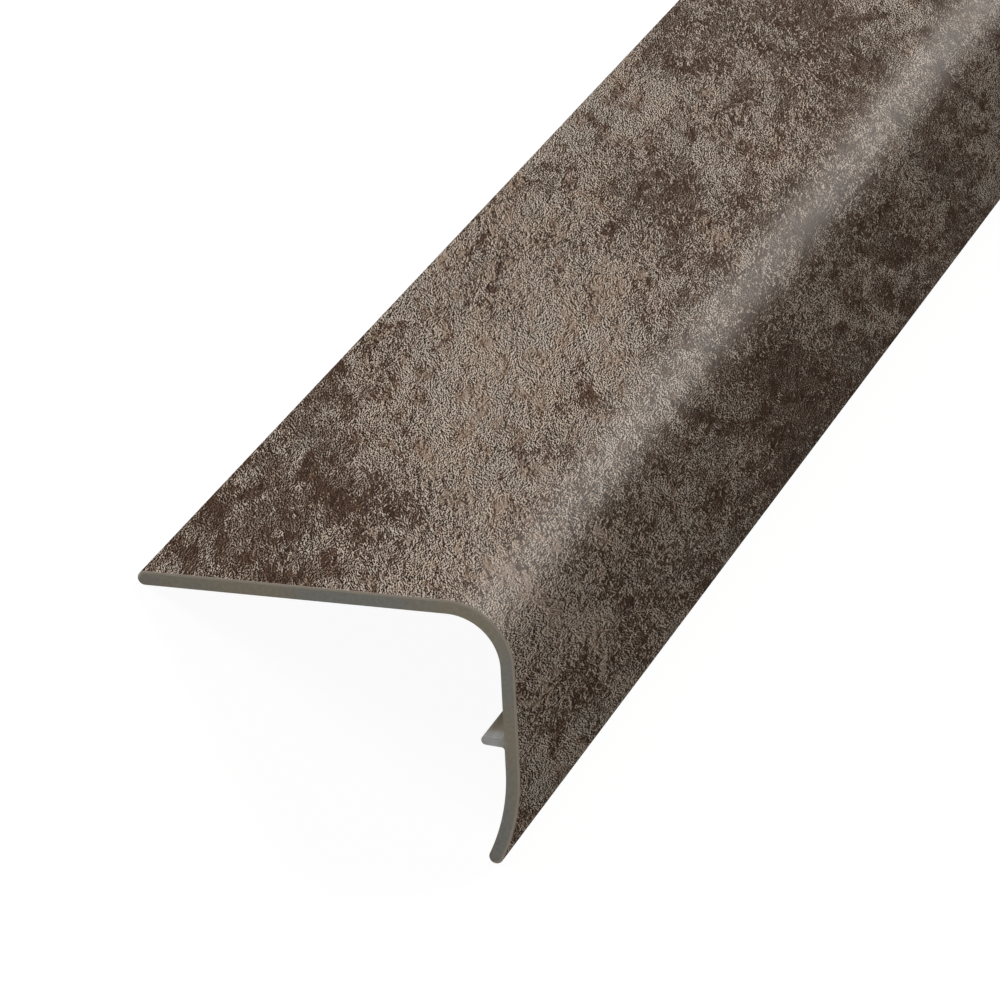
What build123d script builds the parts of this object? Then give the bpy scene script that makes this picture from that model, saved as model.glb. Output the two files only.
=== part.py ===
"""Vinyl stair nosing: one extruded length of rigid vinyl that caps the front edge of a step.

The section is a single wall of even thickness. A flat tread leg lies on the step, a round bend goes over
its edge, a riser leg hangs in front of it and ends in a toe that curls back to the step's face. A thin
rib on the riser's back keeps the gap behind it.

Millimetres. X runs along the stock, -Y is the front, +Z is up. The stock lies unheld on a level floor,
show side up, on the tread's back edge and the toe, so its origin is the middle of that footprint.
"""

from build123d import *
import math
import os

# Overall sizes, with the tread leg taken as level
length = 2000.0
tread_depth = 47.8
drop_height = 33.5

# Wall and bends: the bend's radius is on the show side, the toe's is at mid wall
wall = 1.8
bend_radius = 8.5
riser_flare = 2.0
toe_radius = 25.0
toe_turn = 26.5

# Rib on the riser's back: its depth below the tread's face, its reach and its lift off square
rib_depth = 17.8
rib_reach = 2.9
rib_thickness = 1.2
rib_lift = 6.0
rib_fillet = 0.4

# Mid-wall line, from the tread's back edge over the bend to the toe
half_wall = wall / 2
bend_mid_radius = bend_radius - half_wall
flare = math.radians(riser_flare)
toe_lean = math.radians(toe_turn - riser_flare)

bend_drop = bend_mid_radius * (1 - math.sin(flare))
toe_drop = toe_radius * (math.sin(flare) + math.sin(toe_lean))
riser_length = (drop_height - wall - bend_drop - toe_drop) / math.cos(flare)

riser_run = bend_mid_radius * math.cos(flare) + riser_length * math.sin(flare)
toe_bulge = toe_radius * (1 - math.cos(flare))
tread_length = tread_depth - wall - riser_run - toe_bulge
toe_return = toe_radius * (math.cos(flare) - math.cos(toe_lean))

# Resting place: the rounded tread edge and the rounded toe both touch the floor
ends_run = tread_length + riser_run - toe_return
ends_drop = drop_height - wall
rest_tilt = math.degrees(math.atan2(ends_drop, ends_run))
footing = math.hypot(ends_run, ends_drop)

# Headings in the section plane, where 0 points to the back of the step and 90 points up
tread_heading = 180 - rest_tilt
riser_heading = tread_heading + 90 - riser_flare
rib_heading = riser_heading + 90 + rib_lift

with BuildPart() as stair_nosing:
    with BuildSketch(Plane.YZ) as section:
        with BuildLine():
            tread = PolarLine((footing / 2, half_wall), tread_length, tread_heading)
            bend = JernArc(tread @ 1, tread % 1, bend_mid_radius, 90 - riser_flare)
            riser = PolarLine(bend @ 1, riser_length, riser_heading)
            toe = JernArc(riser @ 1, riser % 1, toe_radius, toe_turn)
            offset(amount=half_wall, side=Side.BOTH)
        make_face()

        # The rib grows from mid wall, so its root is buried in the riser
        rib_share = (rib_depth - half_wall - bend_drop) / (riser_length * math.cos(flare))
        rib_root = riser @ rib_share
        with BuildLine():
            rib = PolarLine(rib_root, half_wall + rib_reach - rib_thickness / 2, rib_heading)
            offset(amount=rib_thickness / 2, side=Side.BOTH)
        make_face()

        riser_back = rib_root + Vector(0, half_wall, 0).rotate(Axis.Z, riser_heading)
        rib_corners = section.vertices().sort_by_distance(riser_back)[:2]
        fillet(rib_corners, radius=rib_fillet)
    extrude(amount=length / 2, both=True)

stair_nosing.part.label = "stair_nosing"

os.makedirs("parts", exist_ok=True)
export_step(stair_nosing.part, "parts/stair_nosing.step")
print(f"tilt {rest_tilt:.2f} deg, footing {footing:.2f} mm, tread flat {tread_length:.2f} mm, "
      f"riser flat {riser_length:.2f} mm, volume {stair_nosing.part.volume / 1000:.1f} cm3")
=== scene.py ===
"""Looks of the vinyl stair nosing: its fine mesh, printed film, bare core, studio and camera. Metres."""

import math

import bpy
from mathutils import Matrix, Vector


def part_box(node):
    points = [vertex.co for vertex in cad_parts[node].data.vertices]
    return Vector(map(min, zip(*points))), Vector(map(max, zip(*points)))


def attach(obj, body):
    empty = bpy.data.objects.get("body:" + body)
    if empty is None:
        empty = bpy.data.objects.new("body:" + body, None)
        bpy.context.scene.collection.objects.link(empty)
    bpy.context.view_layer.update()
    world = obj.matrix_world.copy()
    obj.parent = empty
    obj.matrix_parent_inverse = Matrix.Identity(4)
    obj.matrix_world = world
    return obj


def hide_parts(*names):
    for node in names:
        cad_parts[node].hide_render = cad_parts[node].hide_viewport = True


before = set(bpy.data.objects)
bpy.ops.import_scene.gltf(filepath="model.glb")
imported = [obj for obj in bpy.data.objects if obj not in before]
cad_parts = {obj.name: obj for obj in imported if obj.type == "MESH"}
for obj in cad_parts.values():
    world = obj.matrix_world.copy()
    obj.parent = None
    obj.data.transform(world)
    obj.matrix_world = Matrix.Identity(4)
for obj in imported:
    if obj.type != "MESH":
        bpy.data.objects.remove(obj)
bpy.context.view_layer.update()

MM = 0.001
NODE = "stair_nosing"

# Section sizes, as in the solid
TREAD_DEPTH = 47.8 * MM
DROP_HEIGHT = 33.5 * MM
WALL = 1.8 * MM
BEND_RADIUS = 8.5 * MM
RISER_FLARE = math.radians(2.0)
TOE_RADIUS = 25.0 * MM
TOE_TURN = math.radians(26.5)
RIB_DEPTH = 17.8 * MM
RIB_REACH = 2.9 * MM
RIB_THICKNESS = 1.2 * MM
RIB_LIFT = math.radians(6.0)
RIB_FILLET = 0.4 * MM

# Cut ends: rounding of the rim, and the film's own thickness
RIM = 0.05 * MM
FILM_THICKNESS = 0.32 * MM

# Length of stock after which the print repeats
PRINT_REPEAT = 500 * MM

# Bake map: two slices hold the whole print, each in a row of its own. Above them lie the back and the ends.
SLICE = PRINT_REPEAT / 2
ROW_SHARE = 0.44
BACK_SHARE = 0.5
END_SHARE = 0.25
MAP_GAP = 0.004

# Steps round each curve of the section
TIP_STEPS = 12
BEND_STEPS = 40
TOE_STEPS = 16
RIB_STEPS = 6

# Angle between two faces from which their edge is sharp
SHARP_ANGLE = math.radians(30)

# Lengths of the mid-wall line
HALF_WALL = WALL / 2
BEND_MID_RADIUS = BEND_RADIUS - HALF_WALL
TOE_LEAN = TOE_TURN - RISER_FLARE
BEND_DROP = BEND_MID_RADIUS * (1 - math.sin(RISER_FLARE))
TOE_DROP = TOE_RADIUS * (math.sin(RISER_FLARE) + math.sin(TOE_LEAN))
RISER_LENGTH = (DROP_HEIGHT - WALL - BEND_DROP - TOE_DROP) / math.cos(RISER_FLARE)
RISER_RUN = BEND_MID_RADIUS * math.cos(RISER_FLARE) + RISER_LENGTH * math.sin(RISER_FLARE)
TOE_BULGE = TOE_RADIUS * (1 - math.cos(RISER_FLARE))
TREAD_LENGTH = TREAD_DEPTH - WALL - RISER_RUN - TOE_BULGE
TOE_RETURN = TOE_RADIUS * (math.cos(RISER_FLARE) - math.cos(TOE_LEAN))

# Resting place on the floor
ENDS_RUN = TREAD_LENGTH + RISER_RUN - TOE_RETURN
ENDS_DROP = DROP_HEIGHT - WALL
REST_TILT = math.atan2(ENDS_DROP, ENDS_RUN)
FOOTING = math.hypot(ENDS_RUN, ENDS_DROP)

low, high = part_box(NODE)
NEAR_X = low[0]
FAR_X = high[0]

# Directions of the step that the nosing is made for, in the resting frame
ALONG = Vector((1, 0, 0))
FRONT = Vector((0, -math.cos(REST_TILT), math.sin(REST_TILT)))
UPRIGHT = Vector((0, math.sin(REST_TILT), math.cos(REST_TILT)))


def heading(angle):
    return Vector((math.cos(angle), math.sin(angle)))


def left_of(angle):
    return Vector((-math.sin(angle), math.cos(angle)))


def arc(start, angle, radius, turn, steps):
    """Stations of a left-hand arc as (place, heading), after its start."""
    centre = start + left_of(angle) * radius
    stations = []
    for k in range(1, steps + 1):
        here = angle + turn * k / steps
        stations.append((centre - left_of(here) * radius, here))
    return stations


def mid_wall():
    """Stations of the mid-wall line from the tread's back edge to the toe.
    Also returns where the riser starts, and its heading."""
    tread_heading = math.pi - REST_TILT
    tip = Vector((FOOTING / 2, HALF_WALL))
    stations = [(tip, tread_heading)]
    bend_start = tip + heading(tread_heading) * TREAD_LENGTH
    stations.append((bend_start, tread_heading))
    stations += arc(bend_start, tread_heading, BEND_MID_RADIUS, math.pi / 2 - RISER_FLARE, BEND_STEPS)
    riser_start, riser_heading = stations[-1]
    riser_end = riser_start + heading(riser_heading) * RISER_LENGTH
    stations.append((riser_end, riser_heading))
    stations += arc(riser_end, riser_heading, TOE_RADIUS, TOE_TURN, TOE_STEPS)
    return stations, riser_start, riser_heading


def half_round(centre, radius, first, steps):
    """Points of a left-hand half circle from one end to the other."""
    return [centre + heading(first + math.pi * k / steps) * radius for k in range(steps + 1)]


def rounded(before, corner, after, radius, steps):
    """Points of the arc that rounds a corner between two straight runs."""
    back = (before - corner).normalized()
    on = (after - corner).normalized()
    half = back.angle(on) / 2
    centre = corner + (back + on).normalized() * (radius / math.sin(half))
    start = corner + back * (radius / math.tan(half)) - centre
    end = corner + on * (radius / math.tan(half)) - centre
    sweep = start.angle_signed(end)
    return [centre + Matrix.Rotation(-sweep * k / steps, 2) @ start for k in range(steps + 1)]


def rib_axis(riser_start, riser_heading):
    """The rib's root at mid wall, its heading and the centre of its rounded tip."""
    along = (RIB_DEPTH - HALF_WALL - BEND_DROP) / math.cos(RISER_FLARE)
    mid_root = riser_start + heading(riser_heading) * along
    rib_heading = riser_heading + math.pi / 2 + RIB_LIFT
    tip = mid_root + heading(rib_heading) * (HALF_WALL + RIB_REACH - RIB_THICKNESS / 2)
    return mid_root, rib_heading, tip


def rib_outline(riser_start, riser_heading):
    """Points of the rib from its lower root round its tip to its upper root."""
    mid_root, rib_heading, tip = rib_axis(riser_start, riser_heading)
    down = heading(riser_heading)
    inward = left_of(riser_heading)
    out = heading(rib_heading)
    across = left_of(rib_heading)
    half = RIB_THICKNESS / 2

    def on_riser(side):
        """Where a rib face meets the riser's back."""
        start = mid_root + across * side
        return start + out * ((HALF_WALL - (start - mid_root).dot(inward)) / out.dot(inward))

    lower, upper = on_riser(-half), on_riser(half)
    reach = RIB_THICKNESS
    points = rounded(lower + down * reach, lower, tip - across * half, RIB_FILLET, RIB_STEPS)
    points += half_round(tip, half, rib_heading - math.pi / 2, TIP_STEPS)
    points += rounded(tip + across * half, upper, upper - down * reach, RIB_FILLET, RIB_STEPS)
    return points


def outline():
    """The closed section, anticlockwise seen from the far end: show side first, then toe, back, rib and tip.
    Returns its points and how many of them, from the first, wear the film."""
    stations, riser_start, riser_heading = mid_wall()
    show = [place - left_of(angle) * HALF_WALL for place, angle in stations]
    back = [place + left_of(angle) * HALF_WALL for place, angle in stations]
    toe, toe_heading = stations[-1]
    tip, tip_heading = stations[0]
    toe_round = half_round(toe, HALF_WALL, toe_heading - math.pi / 2, TIP_STEPS)[1:-1]
    tip_round = half_round(tip, HALF_WALL, tip_heading + math.pi / 2, TIP_STEPS)[1:-1]
    riser_last = 1 + BEND_STEPS
    rib = rib_outline(riser_start, riser_heading)
    points = show + toe_round + back[:riser_last:-1] + rib + back[riser_last::-1] + tip_round
    filmed = len(show) + TIP_STEPS // 2
    return points, filmed


def inset(points, depth):
    """The outline moved into the solid."""
    moved = []
    count = len(points)
    for k, here in enumerate(points):
        run = (points[(k + 1) % count] - points[k - 1]).normalized()
        moved.append(here + Vector((-run.y, run.x)) * depth)
    return moved


FILM, CORE, FILM_EDGE = range(3)


def inside(share):
    """A share of a field of the bake map, kept off its rims."""
    return MAP_GAP + (1 - 2 * MAP_GAP) * share


def on_end(point, far):
    """Where a point of a cut end lies on the bake map."""
    across = inside((point.x + FOOTING / 2 + HALF_WALL) / (FOOTING + WALL))
    rise = inside(point.y / high[2])
    return BACK_SHARE + END_SHARE * (far + across), 2 * ROW_SHARE + (1 - 2 * ROW_SHARE) * rise


def on_film(x, index, share):
    """Where a point of the film lies on the bake map, in this slice and at this share of the film's girth."""
    return inside((x - NEAR_X) / SLICE - index), ROW_SHARE * (index % 2 + inside(share))


def on_back(x, share):
    """Where a point of the back lies on the bake map, at this share of the back's girth."""
    along = BACK_SHARE * inside((x - NEAR_X) / (FAR_X - NEAR_X))
    return along, 2 * ROW_SHARE + (1 - 2 * ROW_SHARE) * inside(share)


def nosing_mesh():
    """The whole piece as one closed mesh, with film, core and the film's cut edge as its materials."""
    section, filmed = outline()
    count = len(section)
    rim = inset(section, RIM)
    film_line = inset(section, FILM_THICKNESS)

    # The film's run starts half way round the tread's back edge and ends half way round the toe
    start = count - TIP_STEPS // 2
    film_run = [k % count for k in range(start, count + filmed)]
    core_run = list(range(filmed, start))
    film_faces = len(film_run) - 1
    girth = [0.0]
    for k in range(start, start + count):
        girth.append(girth[-1] + (section[(k + 1) % count] - section[k % count]).length)
    film_girth = girth[film_faces]
    core_girth = girth[-1] - film_girth

    verts, faces, slots, places = [], [], [], []

    def ring(points, x):
        first = len(verts)
        verts.extend((x, p.x, p.y) for p in points)
        return first

    slices = round((FAR_X - NEAR_X) / SLICE)
    cuts = [NEAR_X + RIM] + [NEAR_X + SLICE * k for k in range(1, slices)] + [FAR_X - RIM]
    rings = [ring(section, x) for x in cuts]
    for index in range(slices):
        a, b = rings[index], rings[index + 1]
        for step in range(count):
            k, on = (start + step) % count, (start + step + 1) % count
            faces.append((a + k, b + k, b + on, a + on))
            corners = ((cuts[index], step), (cuts[index + 1], step),
                       (cuts[index + 1], step + 1), (cuts[index], step + 1))
            if step < film_faces:
                slots.append(FILM)
                places += [on_film(x, index, girth[j] / film_girth) for x, j in corners]
            else:
                slots.append(CORE)
                places += [on_back(x, (girth[j] - film_girth) / core_girth) for x, j in corners]

    for far, x, last in ((False, NEAR_X, rings[0]), (True, FAR_X, rings[-1])):
        def add(corners, slot):
            """A face of this cut end, from (vertex, point) corners given for the near end."""
            corners = corners[::-1] if far else corners
            faces.append(tuple(vertex for vertex, _ in corners))
            slots.append(slot)
            places.extend(on_end(point, far) for _, point in corners)

        outer = [(last + k, section[k]) for k in range(count)]
        first = ring(rim, x)
        edge = [(first + k, rim[k]) for k in range(count)]
        first = ring([film_line[k] for k in film_run], x)
        inner = [(first + step, film_line[k]) for step, k in enumerate(film_run)]
        for step in range(count):
            k, on = (start + step) % count, (start + step + 1) % count
            add([edge[k], outer[k], outer[on], edge[on]], FILM_EDGE if step < film_faces else CORE)
        for step in range(film_faces):
            a, b = film_run[step], film_run[step + 1]
            add([edge[a], edge[b], inner[step + 1], inner[step]], FILM_EDGE)
        add(inner + [edge[film_run[-1]]] + [edge[k] for k in core_run] + [edge[film_run[0]]], CORE)

    mesh = bpy.data.meshes.new("nosing_profile")
    mesh.from_pydata(verts, [], faces)
    mesh.polygons.foreach_set("material_index", slots)
    mesh.polygons.foreach_set("use_smooth", [True] * len(faces))
    bake_map = mesh.uv_layers.new(name="OFBake")
    bake_map.data.foreach_set("uv", [value for place in places for value in place])
    mesh.set_sharp_from_angle(angle=SHARP_ANGLE)
    mesh.validate()
    return mesh


def srgb(red, green, blue):
    """A colour given as it shows on screen, 0 to 255."""
    shown = [value / 255 for value in (red, green, blue)]
    return tuple(v / 12.92 if v <= 0.04045 else ((v + 0.055) / 1.055) ** 2.4 for v in shown) + (1.0,)


class Graph:
    """A material's nodes, built one call at a time."""

    def __init__(self, name):
        self.material = bpy.data.materials.new(name)
        self.material.use_nodes = True
        self.tree = self.material.node_tree
        self.shader = self.tree.nodes["Principled BSDF"]

    def put(self, socket, value):
        if isinstance(value, bpy.types.NodeSocket):
            self.tree.links.new(value, socket)
        else:
            socket.default_value = value

    def node(self, kind, inputs, output=0, **settings):
        made = self.tree.nodes.new(kind)
        for name, value in settings.items():
            setattr(made, name, value)
        for name, value in inputs.items():
            self.put(made.inputs[name], value)
        return made.outputs[output]

    def place(self):
        return self.node("ShaderNodeTexCoord", {}, "Object")

    def math(self, operation, first, second=0.0, third=0.0):
        return self.node("ShaderNodeMath", {0: first, 1: second, 2: third}, operation=operation)

    def vector(self, operation, first, second):
        return self.node("ShaderNodeVectorMath", {0: first, 1: second}, operation=operation)

    def dot(self, first, second):
        return self.node("ShaderNodeVectorMath", {0: first, 1: second}, "Value", operation="DOT_PRODUCT")

    def from_line(self, place, line):
        """Distance from a line along the stock, which is given by its point in the section."""
        in_section = self.vector("MULTIPLY", place, (0, 1, 1))
        inputs = {0: in_section, 1: (0, *line)}
        return self.node("ShaderNodeVectorMath", inputs, "Value", operation="DISTANCE")

    def combine(self, x, y, z):
        return self.node("ShaderNodeCombineXYZ", {"X": x, "Y": y, "Z": z})

    def noise(self, place, size, detail=2.0, roughness=0.5, distortion=0.0):
        """Noise from 0 to 1 whose largest features are about this size."""
        inputs = {"Vector": place, "Scale": 1 / size, "Detail": detail,
                  "Roughness": roughness, "Distortion": distortion}
        return self.node("ShaderNodeTexNoise", inputs, "Fac")

    def ramp(self, value, low, high, to_low=0.0, to_high=1.0):
        inputs = {"Value": value, "From Min": low, "From Max": high, "To Min": to_low, "To Max": to_high}
        return self.node("ShaderNodeMapRange", inputs, interpolation_type="SMOOTHSTEP")

    def spread(self, noise, half, to_low=0.0, to_high=1.0):
        """The middle of a noise, this far to either side, stretched over a range."""
        return self.ramp(noise, 0.5 - half, 0.5 + half, to_low, to_high)

    def mix(self, share, first, second, **settings):
        inputs = {0: share, 6: first, 7: second}
        return self.node("ShaderNodeMix", inputs, 2, data_type="RGBA", **settings)

    def tinted(self, colour, tint):
        return self.mix(1.0, colour, tint, blend_type="MULTIPLY")

    def blend(self, share, first, second):
        return self.node("ShaderNodeMix", {0: share, 2: first, 3: second})

    def tones(self, value, stops):
        """A colour from a ramp of (place, colour) stops."""
        made = self.tree.nodes.new("ShaderNodeValToRGB")
        elements = made.color_ramp.elements
        while len(elements) < len(stops):
            elements.new(1.0)
        for element, (position, colour) in zip(elements, stops):
            element.position = position
            element.color = colour
        self.put(made.inputs["Fac"], value)
        return made.outputs["Color"]

    def bump(self, height, distance):
        return self.node("ShaderNodeBump", {"Height": height, "Distance": distance, "Strength": 1.0})


# The print's two directions, in the step's directions, and the drum that it is wound on
PRINT_RUN = ALONG * 0.393 + FRONT * 0.593 + UPRIGHT * 0.673
PRINT_ACROSS = FRONT * 0.758 - UPRIGHT * 0.654
PRINT_RADIUS = PRINT_REPEAT * PRINT_RUN.dot(ALONG) / (2 * math.pi)

# Sizes of the patterns in the print, and offsets that set where the clouds lie or keep patterns apart
CLOUD_SIZE = 30 * MM
CRISP_SIZE = 25 * MM
TINT_SIZE = 7 * MM
PATCH_SIZE = 6 * MM
FOLD_SIZE = 2.4 * MM
PIT_SIZE = 2.4 * MM
FLECK_SIZE = 2 * MM
SWIRL_SIZE = 2 * MM
FLAKE_SIZE = 1 * MM
GRAIN_SIZE = 0.165 * MM
GRAIN_STRETCH = 1.15
CLOUD_SEED = -886 * MM, 226 * MM, 464 * MM
CRISP_SEED = 33 * MM, 33 * MM, 33 * MM
PIT_SEED = 77 * MM, 77 * MM, 77 * MM

# How far the light and the shade of a raised pattern lie from its middle
GRAIN_SHIFT = 0.06 * MM
GRAIN_LEAN = 0.024 * MM
FOLD_SHIFT = 0.12 * MM
FLAKE_SHIFT = 0.06 * MM

# What each pattern adds to the crust's cover, and the sums at which the crust starts and is closed
CLOUD_WEIGHT = 1.2
PATCH_WEIGHT = 0.9
FLECK_WEIGHT = 0.75
GRAIN_WEIGHT = 0.4
CRUST_LIMITS = 1.155, 1.815

# Flakes: what the cover adds to them, their limits, their share of the crust and the contrast of their edges
FLAKE_COVER = 0.25
FLAKE_LIMITS = 0.585, 0.655
FLAKE_SHARES = 0.25, 0.75
FLAKE_EDGE = 0.7

# Grain: its light and shade against its height, and how its light ends are held back
GRAIN_RELIEF = 7.2
GRAIN_HOLD = -0.33

# Strength of the grain on the bare base, at half cover and, as a share of that, on the closed crust;
# its factor where there are no flakes, what they take of it, and its range over the pitted patches
GRAIN_ON_BASE = 0.55
GRAIN_HALF_WAY = 1.1
GRAIN_LEFT_ON_CRUST = 0.4
GRAIN_AMONG_NO_FLAKES = 1.2
GRAIN_LOST_TO_FLAKES = -0.25
PIT_STRENGTHS = 0.2, 1.7

# Creases between the folds: their contrast, their darkening and their strength on base and crust
CREASE_CONTRAST = 1.6
CREASE_DARKENING = -8.0
CREASE_ON_BASE = 0.4
CREASE_ON_CRUST = 0.6

# The film's gloss and relief, and the smoother stretch along the bend's crest
FILM_ROUGHNESS = 0.75
FILM_SPECULAR = 0.05
GRAIN_DEPTH = 0.03 * MM
CREST_ROUGHNESS = 0.48
CREST_TURN = math.radians(28)
CREST_REACH = 8 * MM
CREST_CORE = 0.4 * CREST_REACH


def bend_crest():
    """The crest line's point in the section."""
    stations, _, _ = mid_wall()
    start, angle = stations[1]
    centre = start + left_of(angle) * BEND_MID_RADIUS
    return centre - left_of(angle + CREST_TURN) * BEND_RADIUS


# Tones of the print, from its pits over the bare base to the lightest crust
BASE_TONE = 0.255
PRINT_TONES = (
    (0.00, srgb(20, 10, 5)),
    (0.18, srgb(47, 31, 20)),
    (0.34, srgb(80, 57, 41)),
    (0.50, srgb(111, 89, 72)),
    (0.66, srgb(147, 130, 116)),
    (0.82, srgb(178, 166, 153)),
    (1.00, srgb(214, 204, 191)),
)
CRUST_LIFT = 0.43
TINTS = (1.025, 0.98, 0.95, 1.0), (0.995, 0.99, 0.995, 1.0)


def film_material():
    g = Graph("stone_film")
    place = g.place()
    run = g.dot(place, PRINT_RUN)
    across = g.dot(place, PRINT_ACROSS)

    def spot(shift_run=0.0, shift_across=0.0, stretch_run=1.0, stretch_across=1.0):
        """A place on the print, wound on a drum so that it repeats along the stock."""
        turn = g.math("DIVIDE", g.math("ADD", run, shift_run), PRINT_RADIUS)
        radius = PRINT_RADIUS / stretch_run
        first = g.math("MULTIPLY", g.math("COSINE", turn), radius)
        second = g.math("MULTIPLY", g.math("SINE", turn), radius)
        third = g.math("DIVIDE", g.math("ADD", across, shift_across), stretch_across)
        return g.combine(first, second, third)

    def embossed(shift_run, shift_across, size, stretch, **form):
        """A raised pattern: its height less its mean, and its light and shade."""
        lit, shaded = (
            g.noise(spot(side * shift_run, side * shift_across, **stretch), size, **form) for side in (1, -1))
        height = g.math("SUBTRACT", g.math("ADD", lit, shaded), 1.0)
        return height, g.math("SUBTRACT", lit, shaded)

    def grain(shift_run, shift_across, **stretch):
        form = {"detail": 1, "roughness": 0.6, "distortion": 0.5}
        return embossed(shift_run, shift_across, GRAIN_SIZE, stretch, **form)

    here = spot()
    clouds = g.noise(g.vector("ADD", here, CLOUD_SEED), CLOUD_SIZE, detail=3, roughness=0.55)
    patches = g.noise(here, PATCH_SIZE, detail=4, roughness=0.6, distortion=1.0)
    flecks = g.noise(here, FLECK_SIZE, detail=4, roughness=0.6, distortion=2.0)
    _, fold = embossed(FOLD_SHIFT, FOLD_SHIFT, FOLD_SIZE, {}, detail=6, roughness=0.7, distortion=2.0)

    # The grain swirls between two headings
    swirl = g.spread(g.noise(here, SWIRL_SIZE, detail=1), 0.06)
    run_height, run_relief = grain(GRAIN_LEAN, GRAIN_SHIFT, stretch_run=GRAIN_STRETCH)
    cross_height, cross_relief = grain(GRAIN_SHIFT, GRAIN_LEAN, stretch_across=GRAIN_STRETCH)
    height = g.blend(swirl, run_height, cross_height)
    relief = g.blend(swirl, run_relief, cross_relief)

    # Where the pale crust covers the brown base
    mixed = g.math("MULTIPLY_ADD", clouds, CLOUD_WEIGHT, g.math("MULTIPLY", patches, PATCH_WEIGHT))
    mixed = g.math("MULTIPLY_ADD", flecks, FLECK_WEIGHT, mixed)
    mixed = g.math("MULTIPLY_ADD", height, GRAIN_WEIGHT, mixed)
    cover = g.ramp(mixed, *CRUST_LIMITS)

    # Crisp flakes of the crust, denser where it covers more, with a lit and a shaded edge
    def flaked(side):
        moved = spot(side * FLAKE_SHIFT, side * FLAKE_SHIFT)
        shape = g.noise(moved, FLAKE_SIZE, detail=3, roughness=0.65, distortion=2.0)
        return g.ramp(g.math("MULTIPLY_ADD", cover, FLAKE_COVER, shape), *FLAKE_LIMITS)

    lit_flake, shaded_flake = flaked(1), flaked(-1)
    crisp = g.noise(g.vector("ADD", here, CRISP_SEED), CRISP_SIZE, detail=2)
    crisp = g.spread(crisp, 0.08, *FLAKE_SHARES)
    cover = g.blend(crisp, cover, g.blend(0.5, lit_flake, shaded_flake))
    flake_edge = g.math("MULTIPLY", g.math("SUBTRACT", lit_flake, shaded_flake), crisp)

    # How strongly the grain stands out
    aside = g.vector("ADD", here, PIT_SEED)
    pitted = g.spread(g.noise(aside, PIT_SIZE, detail=3, roughness=0.6), 0.14, *PIT_STRENGTHS)
    towards_half = g.ramp(cover, 0.0, 0.5, GRAIN_ON_BASE, GRAIN_HALF_WAY)
    strength = g.math("MULTIPLY", towards_half, g.ramp(cover, 0.5, 1.0, 1.0, GRAIN_LEFT_ON_CRUST))
    among_flakes = g.math("MULTIPLY_ADD", crisp, GRAIN_LOST_TO_FLAKES, GRAIN_AMONG_NO_FLAKES)
    strength = g.math("MULTIPLY", strength, among_flakes)
    swing = g.math("MULTIPLY", g.math("MULTIPLY_ADD", relief, GRAIN_RELIEF, height), pitted)
    swing = g.math("MULTIPLY", swing, g.math("MULTIPLY_ADD", swing, GRAIN_HOLD, 1.0))

    # The dark creases between the folds
    crease = g.math("MULTIPLY", fold, g.math("MULTIPLY_ADD", fold, CREASE_DARKENING, CREASE_CONTRAST))
    crease_strength = g.math("MULTIPLY_ADD", cover, CREASE_ON_CRUST, CREASE_ON_BASE)

    tone = g.math("MULTIPLY_ADD", cover, CRUST_LIFT, BASE_TONE)
    tone = g.math("MULTIPLY_ADD", swing, strength, tone)
    tone = g.math("MULTIPLY_ADD", flake_edge, FLAKE_EDGE, tone)
    tone = g.math("MULTIPLY_ADD", crease, crease_strength, tone)
    tint = g.mix(g.spread(g.noise(aside, TINT_SIZE, detail=3, roughness=0.6), 0.14), *TINTS)
    g.put(g.shader.inputs["Base Color"], g.tinted(g.tones(tone, PRINT_TONES), tint))

    from_crest = g.from_line(place, bend_crest())
    roughness = g.ramp(from_crest, CREST_CORE, CREST_REACH, CREST_ROUGHNESS, FILM_ROUGHNESS)
    g.put(g.shader.inputs["Roughness"], roughness)
    g.put(g.shader.inputs["Specular IOR Level"], FILM_SPECULAR)
    g.put(g.shader.inputs["Normal"], g.bump(height, GRAIN_DEPTH))
    return g.material


# Bare vinyl: its tones in soft clouds, and the marks of the extrusion die, drawn out along the stock
CORE_TONES = srgb(156, 147, 129), srgb(147, 145, 137)
CORE_CLOUD_SIZE = 11 * MM
CORE_ROUGHNESS = 0.5
DIE_LINES = 0.004, 1.0, 1.0
DIE_LINE_SIZE = 0.5 * MM
DIE_LINE_SHADES = 0.9, 1.1
DIE_LINE_DEPTH = 0.01 * MM

# Painted highlight on the rib at the cuts, a pale colour where light would catch it: its colour, how far
# round its tip and how deep from the cut
RIB_PAINTED_HIGHLIGHT = srgb(193, 193, 192)
PAINTED_HIGHLIGHT_ROUND = 0.6 * MM, 2.4 * MM
PAINTED_HIGHLIGHT_DEEP = 0.6 * MM, 3.0 * MM


def rib_painted_highlight(g, place):
    """Share of the rib's painted highlight at a place, from 0 to 1."""
    _, riser_start, riser_heading = mid_wall()
    _, rib_heading, tip = rib_axis(riser_start, riser_heading)
    middle = tip - heading(rib_heading) * (RIB_THICKNESS / 2)
    from_cut = g.math("SUBTRACT", FAR_X, g.math("ABSOLUTE", g.dot(place, ALONG)))
    around = g.ramp(g.from_line(place, middle), *PAINTED_HIGHLIGHT_ROUND, 1.0, 0.0)
    return g.math("MULTIPLY", around, g.ramp(from_cut, *PAINTED_HIGHLIGHT_DEEP, 1.0, 0.0))


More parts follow.
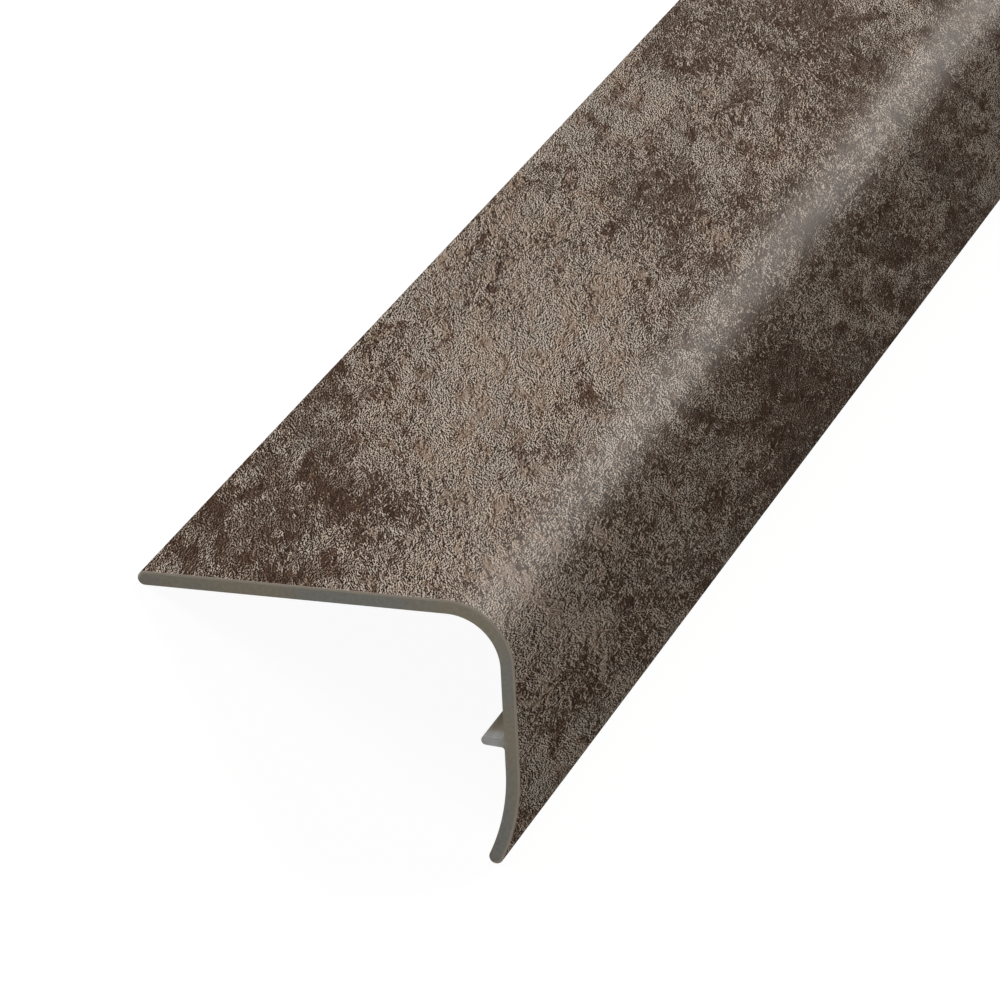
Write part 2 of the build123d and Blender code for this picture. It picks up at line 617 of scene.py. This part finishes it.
def core_material():
    g = Graph("vinyl_core")
    place = g.place()
    clouds = g.spread(g.noise(place, CORE_CLOUD_SIZE, detail=2), 0.1)
    drawn = g.noise(g.vector("MULTIPLY", place, DIE_LINES), DIE_LINE_SIZE, detail=3, roughness=0.6)
    # The rib's tip is painted pale near the cut ends: a painted highlight
    colour = g.mix(rib_painted_highlight(g, place), g.mix(clouds, *CORE_TONES), RIB_PAINTED_HIGHLIGHT)
    g.put(g.shader.inputs["Base Color"], g.tinted(colour, g.spread(drawn, 0.25, *DIE_LINE_SHADES)))
    g.put(g.shader.inputs["Roughness"], CORE_ROUGHNESS)
    g.put(g.shader.inputs["Normal"], g.bump(drawn, DIE_LINE_DEPTH))
    return g.material


FILM_EDGE_TONES = srgb(164, 152, 136), srgb(186, 175, 160)
FILM_EDGE_MOTTLE = 2 * MM


def film_edge_material():
    g = Graph("film_edge")
    mottle = g.noise(g.place(), FILM_EDGE_MOTTLE, detail=3)
    g.put(g.shader.inputs["Base Color"], g.mix(mottle, *FILM_EDGE_TONES))
    g.put(g.shader.inputs["Roughness"], CORE_ROUGHNESS)
    return g.material


def make_nosing():
    nosing = bpy.data.objects.new("nosing", nosing_mesh())
    bpy.context.scene.collection.objects.link(nosing)
    for material in (film_material(), core_material(), film_edge_material()):
        nosing.data.materials.append(material)
    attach(nosing, "root")
    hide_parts(NODE)


# Floor: what it shows to the eye by itself, what of the lamps' light it keeps there, and what it gives back
FLOOR_SIZE = 12.0
FLOOR_WHITE = 0.95
FLOOR_KEEPS = 0.12
FLOOR_GIVES = 0.75


def grey(value):
    return value, value, value, 1.0


def floor_material():
    """White to the eye, with a soft trace of the object's shadow; a plain pale floor to all other light."""
    g = Graph("pale_floor")
    g.tree.nodes.remove(g.shader)
    seen = g.node("ShaderNodeLightPath", {}, "Is Camera Ray")
    white = g.node("ShaderNodeEmission", {"Color": grey(1.0), "Strength": FLOOR_WHITE})
    shadowed = g.node("ShaderNodeBsdfDiffuse", {"Color": grey(FLOOR_KEEPS)})
    to_eye = g.node("ShaderNodeAddShader", {0: white, 1: shadowed})
    plain = g.node("ShaderNodeBsdfDiffuse", {"Color": grey(FLOOR_GIVES)})
    surface = g.node("ShaderNodeMixShader", {0: seen, 1: plain, 2: to_eye})
    output = g.tree.nodes["Material Output"]
    g.put(output.inputs["Surface"], surface)
    return g.material


def make_floor():
    half = FLOOR_SIZE / 2
    mesh = bpy.data.meshes.new("floor")
    corners = [(-half, -half, 0), (half, -half, 0), (half, half, 0), (-half, half, 0)]
    mesh.from_pydata(corners, [], [(0, 1, 2, 3)])
    mesh.materials.append(floor_material())
    floor = bpy.data.objects.new("floor", mesh)
    bpy.context.scene.collection.objects.link(floor)


# Light: a faint surround and three softboxes, placed by the step's directions
AMBIENT = 0.06
WARM = 1.0, 0.955, 0.9
KEY_STRENGTH = 1.45
KEY_ANGLE = math.radians(40)
KEY_FROM = UPRIGHT * 0.84 - FRONT * 0.37 - ALONG * 0.4
RIM_STRENGTH = 2.6
RIM_ANGLE = math.radians(34)
RIM_FROM = ALONG * 0.888 + FRONT * 0.205 + UPRIGHT * 0.41
FILL_STRENGTH = 0.33
FILL_ANGLE = math.radians(30)
FILL_FROM = FRONT * 0.9 - UPRIGHT * 0.44


def make_sun(name, strength, angle, direction, colour=(1, 1, 1)):
    light = bpy.data.lights.new(name, "SUN")
    light.energy = strength
    light.color = colour
    light.angle = angle
    lamp = bpy.data.objects.new(name, light)
    lamp.rotation_euler = direction.to_track_quat("Z", "Y").to_euler()
    bpy.context.scene.collection.objects.link(lamp)


def make_light():
    world = bpy.data.worlds.new("studio")
    bpy.context.scene.world = world
    world.use_nodes = True
    tree = world.node_tree
    tree.nodes.clear()
    path = tree.nodes.new("ShaderNodeLightPath")
    around = tree.nodes.new("ShaderNodeBackground")
    white = tree.nodes.new("ShaderNodeBackground")
    mixed = tree.nodes.new("ShaderNodeMixShader")
    output = tree.nodes.new("ShaderNodeOutputWorld")
    around.inputs["Color"].default_value = grey(1.0)
    around.inputs["Strength"].default_value = AMBIENT
    white.inputs["Color"].default_value = grey(1.0)
    tree.links.new(path.outputs["Is Camera Ray"], mixed.inputs[0])
    tree.links.new(around.outputs[0], mixed.inputs[1])
    tree.links.new(white.outputs[0], mixed.inputs[2])
    tree.links.new(mixed.outputs[0], output.inputs["Surface"])

    make_sun("key_softbox", KEY_STRENGTH, KEY_ANGLE, KEY_FROM)
    make_sun("rim_softbox", RIM_STRENGTH, RIM_ANGLE, RIM_FROM, WARM)
    make_sun("fill_softbox", FILL_STRENGTH, FILL_ANGLE, FILL_FROM, WARM)


# Camera: where it stands from the near end's outer corner, how it is turned, and its lens
EYE_FRONT = 251.3 * MM
EYE_UP = 338.3 * MM
EYE_BEFORE = 829.3 * MM
YAW = math.radians(16.985)
PITCH = math.radians(20.543)
ROLL = math.radians(-0.862)
LENS_MM = 281.94
SENSOR_MM = 36.0
CLIP_START = 50 * MM


def make_camera():
    corner = Vector((NEAR_X, FOOTING / 2, HALF_WALL))
    corner += FRONT * (TREAD_DEPTH - HALF_WALL) + UPRIGHT * HALF_WALL
    eye = corner + FRONT * EYE_FRONT + UPRIGHT * EYE_UP - ALONG * EYE_BEFORE
    level = ALONG * math.cos(YAW) - FRONT * math.sin(YAW)
    forward = level * math.cos(PITCH) - UPRIGHT * math.sin(PITCH)
    side = FRONT * math.cos(YAW) + ALONG * math.sin(YAW)
    lift = UPRIGHT * math.cos(PITCH) + level * math.sin(PITCH)
    right = side * math.cos(ROLL) + lift * math.sin(ROLL)
    up = lift * math.cos(ROLL) - side * math.sin(ROLL)
    lens = bpy.data.cameras.new("camera")
    lens.sensor_width = SENSOR_MM
    lens.lens = LENS_MM
    lens.clip_start = CLIP_START
    camera = bpy.data.objects.new("camera", lens)
    turn = Matrix((right, up, -forward)).transposed()
    camera.matrix_world = Matrix.Translation(eye) @ turn.to_4x4()
    bpy.context.scene.collection.objects.link(camera)
    bpy.context.scene.camera = camera


make_nosing()
make_floor()
make_light()
make_camera()
bpy.context.scene.view_settings.view_transform = "Standard"
